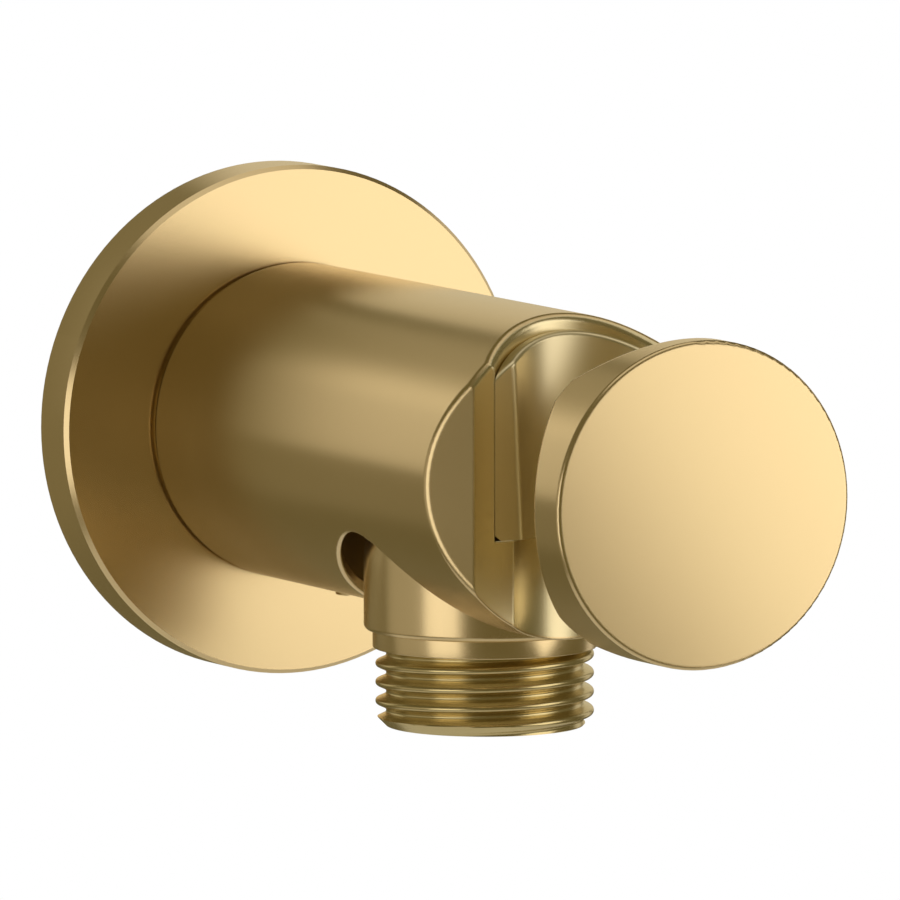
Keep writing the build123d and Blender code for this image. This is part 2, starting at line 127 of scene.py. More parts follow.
class ShaderTree:
    """A node tree that is filled through one method."""

    edge_samples = 8
    # Sockets of a Mix node that works on colours
    mix_factor, mix_low, mix_high, mix_result = 0, 6, 7, 2

    def __init__(self, owner: Union[bpy.types.Material, bpy.types.World]) -> None:
        """Start an empty tree on a material or a world.

        Args:
            owner: the data block whose nodes are built.
        """
        owner.use_nodes = True
        self.tree = owner.node_tree
        self.tree.nodes.clear()

    def node(
        self,
        kind: str,
        settings: Mapping[str, object] | None = None,
        inputs: Mapping[Union[str, int], Value] | None = None,
        output: Union[str, int] = 0,
    ) -> Signal:
        """Add one node, set it up and feed its sockets.

        Args:
            kind: the node's type name.
            settings: its properties.
            inputs: a value or a link for each named or numbered socket.
            output: the socket that is handed on.

        Returns:
            The chosen output.
        """
        made = self.tree.nodes.new(kind)
        for name, setting in (settings or {}).items():
            setattr(made, name, setting)
        for name, value in (inputs or {}).items():
            if isinstance(value, Signal):
                self.tree.links.new(value.socket, made.inputs[name])
            else:
                made.inputs[name].default_value = value
        return Signal(self, made.outputs[output])

    def finish(self, kind: str, surface: Signal) -> None:
        """Feed a shader to a new output node, which has no outputs of its own."""
        made = self.tree.nodes.new(kind)
        self.tree.links.new(surface.socket, made.inputs["Surface"])

    def place(self) -> Signal:
        """Object coordinates, in metres."""
        return self.node("ShaderNodeTexCoord", output="Object")

    def along(self, place: Signal, axis: str) -> Signal:
        """One of the three coordinates of a place."""
        return self.node("ShaderNodeSeparateXYZ", None, {"Vector": place}, axis)

    def noise(self, place: Signal, size_mm: float, detail: float = 2.0) -> Signal:
        """Noise between 0 and 1 whose features have about the given size."""
        inputs = {"Vector": place, "Scale": 1.0 / (size_mm * MM), "Detail": detail}
        return self.node("ShaderNodeTexNoise", None, inputs)

    def blend(self, factor: Signal, low: Union[Signal, Colour], high: Colour) -> Signal:
        """A colour between two, by a factor.

        Args:
            factor: 0 for the low colour, 1 for the high one.
            low: the low colour.
            high: the high colour.

        Returns:
            The blended colour.
        """
        first = low if isinstance(low, Signal) else (*low, 1.0)
        inputs = {self.mix_factor: factor, self.mix_low: first, self.mix_high: (*high, 1.0)}
        return self.node("ShaderNodeMix", {"data_type": "RGBA"}, inputs, self.mix_result)

    def mix(self, factor: Signal, first: Signal, second: Signal) -> Signal:
        """A shader between two, by a factor."""
        return self.node("ShaderNodeMixShader", None, {0: factor, 1: first, 2: second})

    def bump(self, height: Signal, strength: float, depth_mm: float, edge_mm: float = 0.0) -> Signal:
        """A normal that follows a height map, and turns smoothly over edges within a reach.

        Args:
            height: the height map.
            strength: its weight.
            depth_mm: the depth of its full range.
            edge_mm: the reach over edges, or 0 for none.

        Returns:
            The normal.
        """
        inputs: dict[str, Value] = {"Height": height, "Strength": strength, "Distance": depth_mm * MM}
        if edge_mm:
            reach = {"Radius": edge_mm * MM}
            inputs["Normal"] = self.node("ShaderNodeBevel", {"samples": self.edge_samples}, reach)
        return self.node("ShaderNodeBump", None, inputs)

    def fade(self, value: Signal, low: float, high: float) -> Signal:
        """A smooth rise from 0 at the low end to 1 at the high end."""
        ends = {"Value": value, "From Min": low, "From Max": high}
        return self.node("ShaderNodeMapRange", {"interpolation_type": "SMOOTHSTEP"}, ends)


# Finishes

@dataclass(frozen=True)
class Recess:
    """A round space along an axis where the brass takes a painted tone that stands for the light and shade in
    that recess, sizes in millimetres.

    It ends at low and high, and on its first side at edge.
    """

    axis: str
    across: tuple[str, str]
    centre: tuple[float, float]
    radius: float
    low: float
    high: float
    colour: Colour
    edge: float = -30.0

    def mask(self, tree: ShaderTree, place: Signal) -> Signal:
        """Mark the space.

        Args:
            tree: the material's tree.
            place: the coordinates.

        Returns:
            1 inside the space, else 0.
        """
        first, second = (
            tree.along(place, axis) - middle * MM for axis, middle in zip(self.across, self.centre)
        )
        run = tree.along(place, self.axis)
        near = first * first + second * second < (self.radius * MM) ** 2
        return near * (first > self.edge * MM) * (run > self.low * MM) * (run < self.high * MM)


@dataclass(frozen=True)
class SatinBrass:
    """Satin gold brass with a fine blasted grain, and painted tones of light and shade in recesses."""

    name: str
    slot: Slot
    deep: Colour = (0.780, 0.614, 0.358)
    pale: Colour = (0.820, 0.650, 0.384)
    roughness: float = 0.26
    sheen_change: float = 0.03
    grain_mm: float = 0.12
    grain_depth_mm: float = 0.0012
    recesses: tuple[Recess, ...] = ()
    edge_mm: float = 0.0
    drift_mm: float = 14.0
    grain_change: float = 0.02
    grain_strength: float = 0.25

    def material(self) -> bpy.types.Material:
        """Build the material.

        Returns:
            A metal whose tone and gloss drift slowly, with a fine grain.
        """
        made = bpy.data.materials.new(self.name)
        tree = ShaderTree(made)
        place = tree.place()
        drift = tree.noise(place, self.drift_mm, detail=3.0)
        grain = tree.noise(place, self.grain_mm, detail=1.0)
        rough = self.roughness + self.sheen_change * (drift - 0.5) + self.grain_change * (grain - 0.5)
        tone = tree.blend(drift, self.deep, self.pale)
        # Painted light and shade: each recess replaces the brass tone with its painted tone
        for recess in self.recesses:
            tone = tree.blend(recess.mask(tree, place), tone, recess.colour)
        surface = tree.node("ShaderNodeBsdfPrincipled", None, {
            "Base Color": tone,
            "Metallic": 1.0,
            "Roughness": rough,
            "Normal": tree.bump(grain, self.grain_strength, self.grain_depth_mm, self.edge_mm),
        })
        tree.finish("ShaderNodeOutputMaterial", surface)
        return made


@dataclass(frozen=True)
class TurnedBrass:
    """Plain brass as it leaves the lathe, with fine tool marks round the body's axis."""

    name: str
    slot: Slot
    deep: Colour = (0.62, 0.44, 0.17)
    pale: Colour = (0.78, 0.60, 0.28)
    roughness: float = 0.3
    axis: str = "Y"
    mark_mm: float = 0.22
    mark_strength: float = 0.35
    mark_depth_mm: float = 0.004
    stain_mm: float = 6.0
    stain_change: float = 0.12

    def material(self) -> bpy.types.Material:
        """Build the material.

        Returns:
            A metal with rings of tool marks along its axis.
        """
        made = bpy.data.materials.new(self.name)
        tree = ShaderTree(made)
        place = tree.place()
        marks = tree.node(
            "ShaderNodeTexWave",
            {"wave_type": "BANDS", "bands_direction": self.axis},
            {"Vector": place, "Scale": WAVE_RADIAN / (self.mark_mm * MM), "Distortion": 0.6, "Detail": 1.0},
            "Fac",
        )
        stain = tree.noise(place, self.stain_mm, detail=4.0)
        surface = tree.node("ShaderNodeBsdfPrincipled", None, {
            "Base Color": tree.blend(stain, self.deep, self.pale),
            "Metallic": 1.0,
            "Roughness": self.roughness + self.stain_change * stain,
            "Normal": tree.bump(marks, self.mark_strength, self.mark_depth_mm),
        })
        tree.finish("ShaderNodeOutputMaterial", surface)
        return made


@dataclass(frozen=True)
class BrightSteel:
    """Plain stainless steel with faint draw marks."""

    name: str
    slot: Slot
    deep: Colour = (0.50, 0.50, 0.49)
    pale: Colour = (0.66, 0.65, 0.64)
    roughness: float = 0.24
    sheen_change: float = 0.14
    mark_mm: float = 0.3
    mark_strength: float = 0.2
    mark_depth_mm: float = 0.003

    def material(self) -> bpy.types.Material:
        """Build the material.

        Returns:
            A grey metal with small changes of gloss.
        """
        made = bpy.data.materials.new(self.name)
        tree = ShaderTree(made)
        place = tree.place()
        marks = tree.noise(place, self.mark_mm, detail=3.0)
        surface = tree.node("ShaderNodeBsdfPrincipled", None, {
            "Base Color": tree.blend(marks, self.deep, self.pale),
            "Metallic": 1.0,
            "Roughness": self.roughness + self.sheen_change * marks,
            "Normal": tree.bump(marks, self.mark_strength, self.mark_depth_mm),
        })
        tree.finish("ShaderNodeOutputMaterial", surface)
        return made


@dataclass(frozen=True)
class Moulding:
    """A moulded plastic or rubber with a fine spark-eroded grain."""

    name: str
    slot: Slot
    deep: Colour
    pale: Colour
    roughness: float
    grain_mm: float = 0.25
    grain_depth_mm: float = 0.01
    grain_strength: float = 0.4
    grain_change: float = 0.12
    drift_mm: float = 5.0

    def material(self) -> bpy.types.Material:
        """Build the material.

        Returns:
            A matt surface with grain and a slow drift of tone.
        """
        made = bpy.data.materials.new(self.name)
        tree = ShaderTree(made)
        place = tree.place()
        drift = tree.noise(place, self.drift_mm, detail=3.0)
        grain = tree.noise(place, self.grain_mm)
        surface = tree.node("ShaderNodeBsdfPrincipled", None, {
            "Base Color": tree.blend(drift, self.deep, self.pale),
            "Roughness": self.roughness + self.grain_change * (grain - 0.5),
            "Normal": tree.bump(grain, self.grain_strength, self.grain_depth_mm),
        })
        tree.finish("ShaderNodeOutputMaterial", surface)
        return made


@dataclass(frozen=True)
class ClosedFoam:
    """Dark closed-cell foam with small pores."""

    name: str
    slot: Slot
    deep: Colour = (0.012, 0.012, 0.013)
    pale: Colour = (0.045, 0.045, 0.047)
    cell_mm: float = 0.5
    cell_strength: float = 0.8
    cell_depth_mm: float = 0.08
    roughness: float = 0.7
    sheen_change: float = 0.2

    def material(self) -> bpy.types.Material:
        """Build the material.

        Returns:
            A matt dark surface with rounded cells.
        """
        made = bpy.data.materials.new(self.name)
        tree = ShaderTree(made)
        cells = tree.node(
            "ShaderNodeTexVoronoi", {"feature": "F1"},
            {"Vector": tree.place(), "Scale": 1.0 / (self.cell_mm * MM)}, "Distance",
        )
        surface = tree.node("ShaderNodeBsdfPrincipled", None, {
            "Base Color": tree.blend(cells, self.deep, self.pale),
            "Roughness": self.roughness + self.sheen_change * cells,
            "Normal": tree.bump(cells, self.cell_strength, self.cell_depth_mm),
        })
        tree.finish("ShaderNodeOutputMaterial", surface)
        return made


Finish = Union[SatinBrass, TurnedBrass, BrightSteel, Moulding, ClosedFoam]

# Painted light: the slot's flat faces take a paler, less orange copy of the brass, standing for the dull
# bounced light there
SLOT_FACES_PAINTED_LIGHT = Recess("Y", ("X", "Z"), (0.0, 0.0), 15.2, -84.0, -60.0, (0.79, 0.685, 0.44), -11.72)
# Painted shade: the outlet's thread and the collar's underside take a darker, duller copy of the brass
THREAD_PAINTED_SHADE = Recess("Z", ("X", "Y"), (0.0, -45.0), 10.6, -25.6, -17.9, (0.68, 0.565, 0.31))
# Painted shade: the body's turned-down end in the gap before the flange takes a darker, duller copy of the
# brass
SHADOW_GAP_PAINTED_SHADE = Recess("Y", ("X", "Z"), (0.0, 0.0), 15.3, -6.1, 0.0, (0.66, 0.56, 0.30))

SATIN = SatinBrass("satin brass", Slot.SATIN_BRASS)
# The holder and the outlet get copies of the satin brass that carry the painted light and shade of their
# recesses
HOLDER = SatinBrass("satin brass of the holder", Slot.SATIN_BRASS, recesses=(SLOT_FACES_PAINTED_LIGHT, SHADOW_GAP_PAINTED_SHADE), edge_mm=0.3)
OUTLET = SatinBrass("satin brass of the outlet", Slot.SATIN_BRASS, recesses=(THREAD_PAINTED_SHADE,))
PLATED = SatinBrass(
    "plated liner", Slot.PLATED_PLASTIC, (0.79, 0.69, 0.46), (0.82, 0.715, 0.485), 0.33, grain_mm=0.2,
)
TURNED_INLET = TurnedBrass("turned brass along the body", Slot.PLAIN_BRASS)
# Painted shade: the core, seen only through the hole in the holder, is a dark brass that stands for the shade
# inside
CORE_PAINTED_SHADE = TurnedBrass(
    "brass of the core, darkened as painted shade", Slot.PLAIN_BRASS, (0.30, 0.20, 0.07), (0.42, 0.29, 0.11), 0.5,
)
STEEL = BrightSteel("stainless steel", Slot.STAINLESS_STEEL)
RUBBER = Moulding("seal rubber", Slot.SEAL_RUBBER, (0.010, 0.010, 0.010), (0.022, 0.022, 0.023), 0.62)
FOAM = ClosedFoam("gasket foam", Slot.GASKET_FOAM)
VALVE_WHITE = Moulding("white moulding", Slot.VALVE_PLASTIC, (0.70, 0.70, 0.66), (0.78, 0.78, 0.75), 0.42)
POPPET_BLUE = Moulding("blue moulding", Slot.POPPET_PLASTIC, (0.018, 0.070, 0.24), (0.026, 0.095, 0.30), 0.40)

NODE_FINISH: dict[str, Finish] = {
    "wall_flange": SATIN,
    "holder_body": HOLDER,
    "holder_liner": PLATED,
    "outlet_nipple": OUTLET,
    "waterway_core": CORE_PAINTED_SHADE,
    "inlet_adapter": TURNED_INLET,
    "locking_screw": SATIN,
    "valve_spring": STEEL,
    "wall_gasket": FOAM,
    "flange_ring": RUBBER,
    "inlet_washer": RUBBER,
    "inlet_ring_1": RUBBER,
    "inlet_ring_2": RUBBER,
    "nipple_ring": RUBBER,
    "valve_ring": RUBBER,
    "poppet_seal": RUBBER,
    "valve_housing": VALVE_WHITE,
    "valve_guide": VALVE_WHITE,
    "valve_poppet": POPPET_BLUE,
}


class Wardrobe:
    """Builds each finish once and hands it to the pieces."""

    def __init__(self) -> None:
        """Start with no materials."""
        self.made: dict[str, bpy.types.Material] = {}

    def dress(self, piece: bpy.types.Object, finish: Finish) -> None:
        """Give a piece its finish.

        Args:
            piece: a CAD node or a new piece.
            finish: one of the finishes above.
        """
        if finish.name not in self.made:
            self.made[finish.name] = finish.material()
        piece.data.materials.clear()
        piece.data.materials.append(self.made[finish.name])

    def stand_in(self, piece: bpy.types.Object, node: str, finish: Finish) -> None:
        """Let a new piece stand for a CAD node: hide the node and dress the piece in its finish.

        Args:
            piece: the new piece.
            node: the CAD node that it replaces.
            finish: its finish.
        """
        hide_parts(node)
        self.dress(piece, finish)


# Turned pieces

# Edges that turn by more than this angle, in radians, stay sharp
CREASE = 0.55
# A quarter turn from upright to along the body
LAID_DOWN = Matrix(((1, 0, 0), (0, 0, 1), (0, -1, 0)))


def bearing(vert: BMVert) -> float:
    """The angle of a vertex round the upright axis."""
    return atan2(vert.co.y, vert.co.x)


def hexagon_radius(across_flats: float) -> Callable[[float], float]:
    """The radius of a hexagon's outline at each angle.

    Args:
        across_flats: the size across its flats.

    Returns:
        A function of the angle.
    """
    def at(angle: float) -> float:
        """The radius at one angle."""
        turn = (angle % (pi / 3)) - pi / 6
        return across_flats / 2 / cos(turn)
    return at


class Lathe:
    """Grows a turned form ring by ring from the open edge of a mesh, about the upright axis, in metres."""

    reach = 0.004 * MM

    def __init__(self, mesh: BMesh) -> None:
        """Work on the given mesh."""
        self.mesh = mesh

    def place(self, vert: BMVert, radius: Radius, height: float) -> None:
        """Move a vertex out to a radius and to a height, at its own angle.

        Args:
            vert: the vertex.
            radius: the radius, or a function of the angle.
            height: the height.
        """
        reach = radius(bearing(vert)) if callable(radius) else radius
        scale = reach / hypot(vert.co.x, vert.co.y)
        vert.co = Vector((vert.co.x * scale, vert.co.y * scale, height))

    def grow(self, edge_loop: list[BMEdge], rings: Sequence[tuple[Radius, float]]) -> list[BMEdge]:
        """Extrude an open loop through a chain of rings.

        Args:
            edge_loop: the loop to start from.
            rings: radius and height of each ring.

        Returns:
            The last ring's edges.
        """
        for radius, height in rings:
            grown = bmesh.ops.extrude_edge_only(self.mesh, edges=edge_loop)["geom"]
            for vert in (item for item in grown if isinstance(item, BMVert)):
                self.place(vert, radius, height)
            edge_loop = [item for item in grown if isinstance(item, BMEdge) and item.is_boundary]
        return edge_loop

    def edges_at(self, radius: float, height: float) -> list[BMEdge]:
        """Find the edges of one ring.

        Args:
            radius: the ring's radius.
            height: its height.

        Returns:
            The ring's edges.
        """
        def near(vert: BMVert) -> bool:
            """Whether a vertex lies on the ring."""
            off = max(abs(hypot(vert.co.x, vert.co.y) - radius), abs(vert.co.z - height))
            return off < self.reach
        return [edge for edge in self.mesh.edges if all(near(vert) for vert in edge.verts)]

    def round_ring(self, radius: float, height: float, size: float, segments: int) -> None:
        """Round the edge of one ring.

        Args:
            radius: the ring's radius.
            height: its height.
            size: the size of the rounding.
            segments: the number of its steps.
        """
        bmesh.ops.bevel(
            self.mesh, geom=self.edges_at(radius, height), offset=size, offset_type="OFFSET",
            affect="EDGES", segments=segments, profile=0.5, material=-1, clamp_overlap=True,
        )


@dataclass(frozen=True)
class PipeThread:
    """A half-inch pipe thread: rounded 55 degree ridges on a right-hand helix, sizes in millimetres."""

    pitch: float = 1.814
    crest: float = 10.4775
    root: float = 9.45
    crest_share: float = 0.26
    root_share: float = 0.24
    rounding: float = 0.2
    rounding_steps: int = 3
    steps: int = 120
    spare_turns: int = 2
    ridge_angle: float = 0.5
    merge: float = 0.002
    cut: float = 0.0005
    reach: float = 0.01

    def sweep(self, mesh: BMesh, crest_height: float, crest_angle: float, low: float, high: float) -> None:
        """Sweep the ridges from below the low end to above the high end, then cut them off square.

        Args:
            mesh: the mesh that receives them.
            crest_height: a height where a crest passes the given angle.
            crest_angle: that angle, in radians.
            low: the lower end.
            high: the upper end.
        """
        flank = (1.0 - self.crest_share - self.root_share) / 2 * self.pitch
        half_crest = self.crest_share * self.pitch / 2
        outline = [
            (self.root, -half_crest - flank - self.root_share * self.pitch),
            (self.root, -half_crest - flank),
            (self.crest, -half_crest),
            (self.crest, half_crest),
            (self.root, half_crest + flank),
        ]
        below = int((crest_height - low) / self.pitch) + self.spare_turns
        turns = int((high - low) / self.pitch) + 2 * self.spare_turns
        start = crest_height - below * self.pitch
        verts = [mesh.verts.new((r * MM, 0.0, (start + z) * MM)) for r, z in outline]
        edges = [mesh.edges.new(pair) for pair in zip(verts, verts[1:])]
        bmesh.ops.rotate(mesh, verts=verts, cent=(0, 0, 0), matrix=Matrix.Rotation(crest_angle, 3, "Z"))
        bmesh.ops.spin(
            mesh, geom=verts + edges, cent=(0, 0, 0), axis=(0, 0, 1),
            dvec=(0, 0, self.pitch * MM / self.steps), angle=tau * turns, steps=self.steps * turns,
            use_merge=False, use_duplicate=False,
        )
        bmesh.ops.remove_doubles(mesh, verts=mesh.verts[:], dist=self.merge * MM)
        ridges = [
            edge for edge in mesh.edges
            if len(edge.link_faces) == 2 and edge.calc_face_angle() > self.ridge_angle
        ]
        bmesh.ops.bevel(
            mesh, geom=ridges, offset=self.rounding * MM, offset_type="OFFSET", affect="EDGES",
            segments=self.rounding_steps, profile=0.5, material=-1, clamp_overlap=True,
        )
        for height, up in ((low, -1.0), (high, 1.0)):
            bmesh.ops.bisect_plane(
                mesh, geom=mesh.verts[:] + mesh.edges[:] + mesh.faces[:], dist=self.cut * MM,
                plane_co=(0, 0, height * MM), plane_no=(0, 0, up), clear_outer=True,
            )

    def open_loop(self, mesh: BMesh, height: float) -> list[BMEdge]:
        """Find the open edge that a cut left.

        Args:
            mesh: the mesh of the thread.
            height: the height of the cut.

        Returns:
            The edges of the cut.
        """
        return [
            edge for edge in mesh.edges
            if edge.is_boundary and all(abs(vert.co.z - height * MM) < self.reach * MM for vert in edge.verts)
        ]


def finished(mesh: BMesh, name: str) -> bpy.types.Object:
    """Turn a mesh into a piece that rides on the fitting.

    Args:
        mesh: the mesh, in its place; it is freed.
        name: the piece's name.

    Returns:
        The new object.
    """
    bmesh.ops.recalc_face_normals(mesh, faces=mesh.faces[:])
    for face in mesh.faces:
        face.smooth = True
    for edge in mesh.edges:
        edge.smooth = len(edge.link_faces) == 2 and edge.calc_face_angle(0.0) < CREASE
    data = bpy.data.meshes.new(name)
    mesh.to_mesh(data)
    mesh.free()
    piece = bpy.data.objects.new(name, data)
    bpy.context.scene.collection.objects.link(piece)
    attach(piece, FITTING)
    return piece


@dataclass
class OutletNipple:
    """The outlet: spigot in the core, neck, collar and the turned hose thread, sizes in millimetres."""

    wardrobe: Wardrobe
    offset: float = 45.0
    neck: float = 11.6
    neck_land: float = -9.0
    neck_relief: float = 0.2
    neck_taper: float = 1.3
    neck_bottom: float = -16.25
    neck_round: float = 0.55
    neck_steps: int = 6
    collar: float = 10.75
    collar_round: float = 0.12
    collar_steps: int = 3
    thread_top: float = -17.97
    thread_end: float = -25.5
    lead_in: float = 1.0
    bore: float = 7.55
    bore_edge: float = 0.35
    web_bottom: float = -10.2
    spigot: float = 10.0
    spigot_top: float = -1.2
    seat: float = -7.4
    key: float = 12.0
    crest_height: float = -19.56
    crest_bearing: float = 152.1

    def build(self) -> bpy.types.Object:
        """Model the nipple.

        Returns:
            The piece that stands for the CAD node.
        """
        mesh = bmesh.new()
        thread = PipeThread()
        thread.sweep(mesh, self.crest_height, radians(self.crest_bearing), self.thread_end, self.thread_top)
        self.lead(mesh, thread)
        lathe = Lathe(mesh)
        foot = thread.open_loop(mesh, self.thread_end)
        top = lathe.grow(thread.open_loop(mesh, self.thread_top), self.outside())
        inner = lathe.grow(top, self.inside())
        rim = lathe.grow(foot, [((self.bore + self.bore_edge) * MM, self.thread_end * MM)])
        bmesh.ops.bridge_loops(mesh, edges=inner + rim)
        lathe.round_ring(self.neck * MM, self.neck_bottom * MM, self.neck_round * MM, self.neck_steps)
        lathe.round_ring(self.collar * MM, self.thread_top * MM, self.collar_round * MM, self.collar_steps)
        bmesh.ops.translate(mesh, verts=mesh.verts[:], vec=(0, -self.offset * MM, 0))
        piece = finished(mesh, "threaded_outlet")
        self.wardrobe.stand_in(piece, "outlet_nipple", OUTLET)
        return piece

    def lead(self, mesh: BMesh, thread: PipeThread) -> None:
        """Turn the thread's end down to a cone, so that a nut starts easily.

        Args:
            mesh: the mesh of the thread.
            thread: its sizes.
        """
        for vert in mesh.verts:
            rise = vert.co.z - self.thread_end * MM
            limit = thread.crest * MM - max(0.0, self.lead_in * MM - rise)
            radius = hypot(vert.co.x, vert.co.y)
            if radius > limit:
                vert.co.x *= limit / radius
                vert.co.y *= limit / radius

    def outside(self) -> list[tuple[Radius, float]]:
        """List the rings from the thread up to the spigot's top.

        Returns:
            Radius and height of each ring, in metres.
        """
        waist = self.neck - self.neck_relief
        outline = [
            (self.collar, self.thread_top), (self.collar, self.neck_bottom), (self.neck, self.neck_bottom),
            (self.neck, self.neck_land), (waist, self.neck_land + self.neck_taper), (waist, self.seat),
            (self.spigot, self.seat), (self.spigot, self.spigot_top),
        ]
        return [(radius * MM, height * MM) for radius, height in outline]

    def inside(self) -> list[tuple[Radius, float]]:
        """List the rings of the key's hexagon and of the bore, from the top down.

        Returns:
            Radius and height of each ring, in metres.
        """
        hexagon = hexagon_radius(self.key * MM)
        bore = self.bore * MM
        return [
            (hexagon, self.spigot_top * MM), (hexagon, self.web_bottom * MM),
            (bore, self.web_bottom * MM), (bore, (self.thread_end + self.bore_edge) * MM),
        ]


@dataclass
class InletAdapter:
    """The adapter at the wall: threaded hub, and spigot with grooves and a key, sizes in millimetres."""

    wardrobe: Wardrobe
    hub: float = 14.0
    hub_end: float = 12.1
    spigot: float = 8.95
    spigot_end: float = 33.1
    screw_middle: float = 19.5
    screw_half: float = 1.15
    screw_depth: float = 0.8
    ring_floor: float = 7.35
    ring_starts: tuple[float, float] = (26.9, 30.0)
    ring_width: float = 2.0
    thread_crest: float = 9.3155
    thread_length: float = 9.0
    mouth: float = 1.2
    relief: float = 10.6
    washer_end: float = 10.5
    key: float = 10.0

    def build(self) -> bpy.types.Object:
        """Model the adapter upright, then lay it along the body.

        Returns:
            The piece that stands for the CAD node.
        """
        mesh = bmesh.new()
        thread = PipeThread(root=self.thread_crest)
        thread.sweep(mesh, -self.thread_length / 2, 0.0, -self.thread_length, 0.0)
        self.countersink(mesh)
        lathe = Lathe(mesh)
        end = thread.open_loop(mesh, -self.thread_length)
        outer = lathe.grow(thread.open_loop(mesh, 0.0), self.outside())
        inner = lathe.grow(outer, self.inside())
        bmesh.ops.bridge_loops(mesh, edges=inner + end)
        bmesh.ops.rotate(mesh, verts=mesh.verts[:], cent=(0, 0, 0), matrix=LAID_DOWN)
        piece = finished(mesh, "threaded_inlet")
        self.wardrobe.stand_in(piece, "inlet_adapter", TURNED_INLET)
        return piece

    def countersink(self, mesh: BMesh) -> None:
        """Open the thread's mouth to a cone that is wider than the thread.

        Args:
            mesh: the mesh of the thread.
        """
        for vert in mesh.verts:
            limit = self.thread_crest * MM + max(0.0, self.mouth * MM + vert.co.z)
            radius = hypot(vert.co.x, vert.co.y)
            if radius < limit:
                vert.co.x *= limit / radius
                vert.co.y *= limit / radius

    def outside(self) -> list[tuple[Radius, float]]:
        """List the rings of the hub and the spigot, from the wall to the spigot's end.

        Returns:
            Radius and height of each ring, in metres.
        """
        floor = self.spigot - self.screw_depth
        near, far = self.screw_middle - self.screw_half, self.screw_middle + self.screw_half
        outline = [
            (self.hub, 0.0), (self.hub, self.hub_end), (self.spigot, self.hub_end),
            (self.spigot, near - self.screw_depth), (floor, near),
            (floor, far), (self.spigot, far + self.screw_depth),
        ]
        for start in self.ring_starts:
            end = start + self.ring_width
            outline += [(self.spigot, start), (self.ring_floor, start)]
            outline += [(self.ring_floor, end), (self.spigot, end)]
        outline.append((self.spigot, self.spigot_end))
        return [(radius * MM, -depth * MM) for radius, depth in outline]

    def inside(self) -> list[tuple[Radius, float]]:
        """List the rings of the key's hexagon and the washer's seat, back to the thread.

        Returns:
            Radius and height of each ring, in metres.
        """
        hexagon = hexagon_radius(self.key * MM)
        relief = self.relief * MM
        return [
            (hexagon, -self.spigot_end * MM), (hexagon, -self.washer_end * MM),
            (relief, -self.washer_end * MM), (relief, -self.thread_length * MM),
        ]


@dataclass
class CoilSpring:
    """The check valve's spring: round wire on a right-hand helix, sizes in millimetres."""

    wardrobe: Wardrobe
    offset: float = 45.0
    foot: float = -20.35
    height: float = 4.6
    gap: float = 0.03
    coil: float = 3.3
    wire: float = 0.225
    turns: int = 4
    steps: int = 48
    sides: int = 12
    joint: str = "valve_travel"
    travel: float = 2.5

    def build(self) -> bpy.types.Object:
        """Model the spring.

        Returns:
            The piece that stands for the CAD node.
        """
        mesh = bmesh.new()
        low = self.foot + self.gap + self.wire
        stand = Matrix.Translation((self.coil * MM, 0.0, low * MM)) @ Matrix.Rotation(pi / 2, 4, "X")
        ring = bmesh.ops.create_circle(mesh, segments=self.sides, radius=self.wire * MM, matrix=stand)
        climb = self.height - 2 * (self.gap + self.wire)
        steps = self.steps * self.turns
        bmesh.ops.spin(
            mesh, geom=ring["verts"] + mesh.edges[:], cent=(0, 0, 0), axis=(0, 0, 1),
            dvec=(0, 0, climb * MM / steps), angle=tau * self.turns, steps=steps,
            use_merge=False, use_duplicate=False,
        )
        bmesh.ops.holes_fill(mesh, edges=[edge for edge in mesh.edges if edge.is_boundary])
        bmesh.ops.translate(mesh, verts=mesh.verts[:], vec=(0, -self.offset * MM, 0))
        piece = finished(mesh, "coil_spring")
        self.wardrobe.stand_in(piece, "valve_spring", STEEL)
        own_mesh(piece)
        return piece


# Stage

WARM: Colour = (1.0, 0.95, 0.86)
WHITE: Colour = (1.0, 1.0, 1.0)


def turned(bearing_deg: float, rise_deg: float) -> Matrix:
    """The turn from straight in front to a bearing and a height, in degrees."""
    return Matrix.Rotation(radians(bearing_deg), 3, "Z") @ Matrix.Rotation(radians(-rise_deg), 3, "X")


def stage_piece(mesh: BMesh, name: str, material: bpy.types.Material) -> bpy.types.Object:
    """Put a mesh on the stage, where it isn't part of the object.

    Args:
        mesh: the mesh, in its place; it is freed.
        name: the object's name.
        material: its material.

    Returns:
        The new object.
    """
    data = bpy.data.meshes.new(name)
    mesh.to_mesh(data)
    mesh.free()
    data.materials.append(material)
    made = bpy.data.objects.new(name, data)
    bpy.context.scene.collection.objects.link(made)
    return made


@dataclass(frozen=True)
class Viewpoint:
    """Where the photograph was taken from, in millimetres and degrees."""

    aim: tuple[float, float, float] = (0.0, -35.0, 0.0)
    azimuth: float = -27.876
    elevation: float = 6.375
    distance: float = 1542.4
    focal_px: float = 16028.85
    centre_px: tuple[float, float] = (435.87, 449.47)
    frame_px: float = 900.0
    sensor_mm: float = 36.0
    far_m: float = 20.0

    def camera(self) -> bpy.types.Object:
        """Set up the camera.

        Returns:
            The camera object, which is also the scene's camera.
        """
        turn = turned(self.azimuth, self.elevation)
        right, back, up = (turn @ Vector(axis) for axis in ((1, 0, 0), (0, -1, 0), (0, 0, 1)))
        middle = self.frame_px / 2
        across = (middle - self.centre_px[0]) / self.focal_px
        upward = (self.centre_px[1] - middle) / self.focal_px
        sight = (across * right + upward * up - back).normalized()
        data = bpy.data.cameras.new("camera")
        data.sensor_width = self.sensor_mm
        data.lens = self.sensor_mm * self.focal_px / self.frame_px
        data.clip_end = self.far_m
        camera = bpy.data.objects.new("camera", data)
        camera.location = (Vector(self.aim) + back * self.distance) * MM
        camera.rotation_euler = sight.to_track_quat("-Z", "Y").to_euler()
        bpy.context.scene.collection.objects.link(camera)
        bpy.context.scene.camera = camera
        return camera


